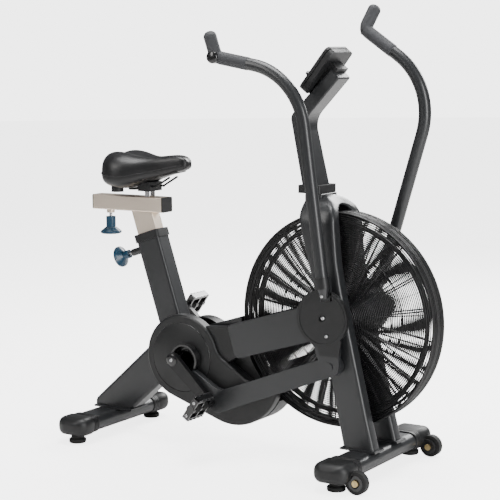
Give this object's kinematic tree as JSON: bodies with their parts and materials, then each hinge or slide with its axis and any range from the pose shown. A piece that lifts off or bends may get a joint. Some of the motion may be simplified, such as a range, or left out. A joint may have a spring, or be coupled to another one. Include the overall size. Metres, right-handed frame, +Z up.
{
  "type": "air bike",
  "caption": "Upright exercise bike with a large caged fan wheel, pedals, two swinging arm levers, a sliding saddle on a height-adjustable post and a small console on a mast.",
  "frame": {"origin": "on the floor, under the middle of the machine's box", "axes": "+X forward to the fan, +Y to the rider's left, +Z up; the feet stand on Z = 0"},
  "size_m": [1.266, 0.59, 1.414],
  "materials": {
    "frame_metallic": "satin grey paint with a fine metallic flake",
    "dark_plastic": "textured dark grey plastic",
    "black_wire": "gloss black powder coat",
    "rubber": "matt black rubber",
    "aluminium": "brushed, lightly anodised",
    "steel": "bright zinc-plated steel",
    "brass": "satin brass-coloured plating",
    "knob_blue": "deep blue moulded plastic",
    "vinyl": "grained black vinyl",
    "foam": "fine-celled dark grey foam",
    "gloss_black": "gloss black plastic",
    "screen": "dark glossy display window",
    "blade": "dark painted sheet steel",
    "belt": "black ribbed belt",
    "button_green": "green moulded plastic",
    "button_red": "red moulded plastic"
  },
  "bodies": {
    "frame": {"rear_stabilizer": "frame_metallic", "front_stabilizer": "frame_metallic", "rear_end_caps": "dark_plastic", "front_end_caps": "dark_plastic", "feet": "rubber", "rear_beam": "frame_metallic", "main_beam": "frame_metallic", "seat_tube": "frame_metallic", "seat_tube_collar": "dark_plastic", "side_arms": "frame_metallic", "leg_left": "frame_metallic", "leg_right": "frame_metallic", "yoke": "frame_metallic", "mast_collar": "dark_plastic", "mast": "frame_metallic", "console_bracket": "dark_plastic", "console_case": "dark_plastic", "console_screen": "screen", "housing_right": "dark_plastic", "housing_left": "dark_plastic", "belly_cover": "dark_plastic", "crank_covers": "dark_plastic", "cage_left": "black_wire", "cage_right": "black_wire", "bearings": "steel", "drive_belts": "belt", "fasteners": "brass"},
    "post": {"seat_post": "aluminium", "slider_tube": "aluminium", "slider_end_caps": "dark_plastic"},
    "height_knob": {"height_knob": "knob_blue", "height_pin": "steel"},
    "slider_knob": {"slider_knob": "knob_blue", "slider_pin": "steel"},
    "saddle": {"saddle_carriage": "steel", "saddle_clamp": "dark_plastic", "saddle_rails": "black_wire", "saddle_base": "dark_plastic", "saddle_pad": "vinyl"},
    "crank": {"crank_axle": "black_wire", "crank_pulley": "black_wire", "crank_right": "black_wire", "crank_left": "black_wire"},
    "pedal_right": {"pedal_right": "gloss_black"},
    "pedal_left": {"pedal_left": "gloss_black"},
    "jackshaft": {"jackshaft": "steel"},
    "fan": {"fan_wheel": "blade", "fan_axle": "steel"},
    "lever_right": {"lever_right": "frame_metallic", "grip_right": "foam", "pivot_cover_right": "dark_plastic"},
    "lever_left": {"lever_left": "frame_metallic", "grip_left": "foam", "pivot_cover_left": "dark_plastic"},
    "link_right": {"link_right": "frame_metallic"},
    "link_left": {"link_left": "frame_metallic"},
    "wheel_right": {"wheel_right": "rubber"},
    "wheel_left": {"wheel_left": "rubber"},
    "button_start": {"button_start": "button_green"},
    "button_stop": {"button_stop": "button_red"}
  },
  "joints": [
    {"name": "fan_spin", "type": "hinge", "parent": "frame", "child": "fan", "pos_m": [0.303, 0, 0.461], "axis": [0, 1, 0], "continuous": true},
    {"name": "crank_spin", "type": "hinge", "parent": "frame", "child": "crank", "pos_m": [-0.237, 0, 0.298], "axis": [0, 1, 0], "continuous": true},
    {"name": "jackshaft_spin", "type": "hinge", "parent": "frame", "child": "jackshaft", "pos_m": [0.02, 0, 0.386], "axis": [0, 1, 0], "continuous": true},
    {"name": "pedal_right_spin", "type": "hinge", "parent": "crank", "child": "pedal_right", "pos_m": [-0.09952, -0.19, 0.17421], "axis": [0, 1, 0], "continuous": true},
    {"name": "pedal_left_spin", "type": "hinge", "parent": "crank", "child": "pedal_left", "pos_m": [-0.37448, 0.19, 0.42179], "axis": [0, 1, 0], "continuous": true},
    {"name": "lever_right_swing", "type": "hinge", "parent": "frame", "child": "lever_right", "pos_m": [0.312, -0.125, 0.481], "axis": [0, 1, 0], "range_deg": [0, 24.5]},
    {"name": "lever_left_swing", "type": "hinge", "parent": "frame", "child": "lever_left", "pos_m": [0.312, 0.125, 0.481], "axis": [0, 1, 0], "range_deg": [-24.5, 0]},
    {"name": "link_right_pivot", "type": "hinge", "parent": "lever_right", "child": "link_right", "pos_m": [0.337, -0.107, 0.337], "axis": [0, 1, 0], "range_deg": [-24.5, 0]},
    {"name": "link_left_pivot", "type": "hinge", "parent": "lever_left", "child": "link_left", "pos_m": [0.27503, 0.107, 0.3396], "axis": [0, 1, 0], "range_deg": [0, 24.5]},
    {"name": "seat_height", "type": "slide", "parent": "frame", "child": "post", "axis": [-0.309, 0, 0.9511], "range_m": [-0.03, 0.08]},
    {"name": "saddle_slide", "type": "slide", "parent": "post", "child": "saddle", "axis": [1, 0, 0], "range_m": [-0.03, 0.02]},
    {"name": "height_knob_pull", "type": "slide", "parent": "frame", "child": "height_knob", "axis": [-0.9511, 0, -0.309], "range_m": [0, 0.008], "stiffness_N_per_m": 1500, "springref_m": -0.004},
    {"name": "slider_knob_pull", "type": "slide", "parent": "post", "child": "slider_knob", "axis": [0, 0, -1], "range_m": [0, 0.008], "stiffness_N_per_m": 1500, "springref_m": -0.004},
    {"name": "wheel_right_spin", "type": "hinge", "parent": "frame", "child": "wheel_right", "pos_m": [0.492, -0.241, 0.034], "axis": [0, 1, 0], "continuous": true},
    {"name": "wheel_left_spin", "type": "hinge", "parent": "frame", "child": "wheel_left", "pos_m": [0.492, 0.241, 0.034], "axis": [0, 1, 0], "continuous": true},
    {"name": "button_start_press", "type": "slide", "parent": "frame", "child": "button_start", "axis": [0.7804, 0, -0.6252], "range_m": [0, 0.0015], "stiffness_N_per_m": 600, "springref_m": -0.0004},
    {"name": "button_stop_press", "type": "slide", "parent": "frame", "child": "button_stop", "axis": [0.7804, 0, -0.6252], "range_m": [0, 0.0015], "stiffness_N_per_m": 600, "springref_m": -0.0004}
  ],
  "couplings": [
    {"joint": "crank_spin", "follows": "fan_spin", "ratio": 0.15432},
    {"joint": "jackshaft_spin", "follows": "fan_spin", "ratio": 0.55556},
    {"joint": "lever_left_swing", "follows": "lever_right_swing", "ratio": -1},
    {"joint": "link_right_pivot", "follows": "lever_right_swing", "ratio": -1},
    {"joint": "link_left_pivot", "follows": "lever_right_swing", "ratio": 1}
  ]
}
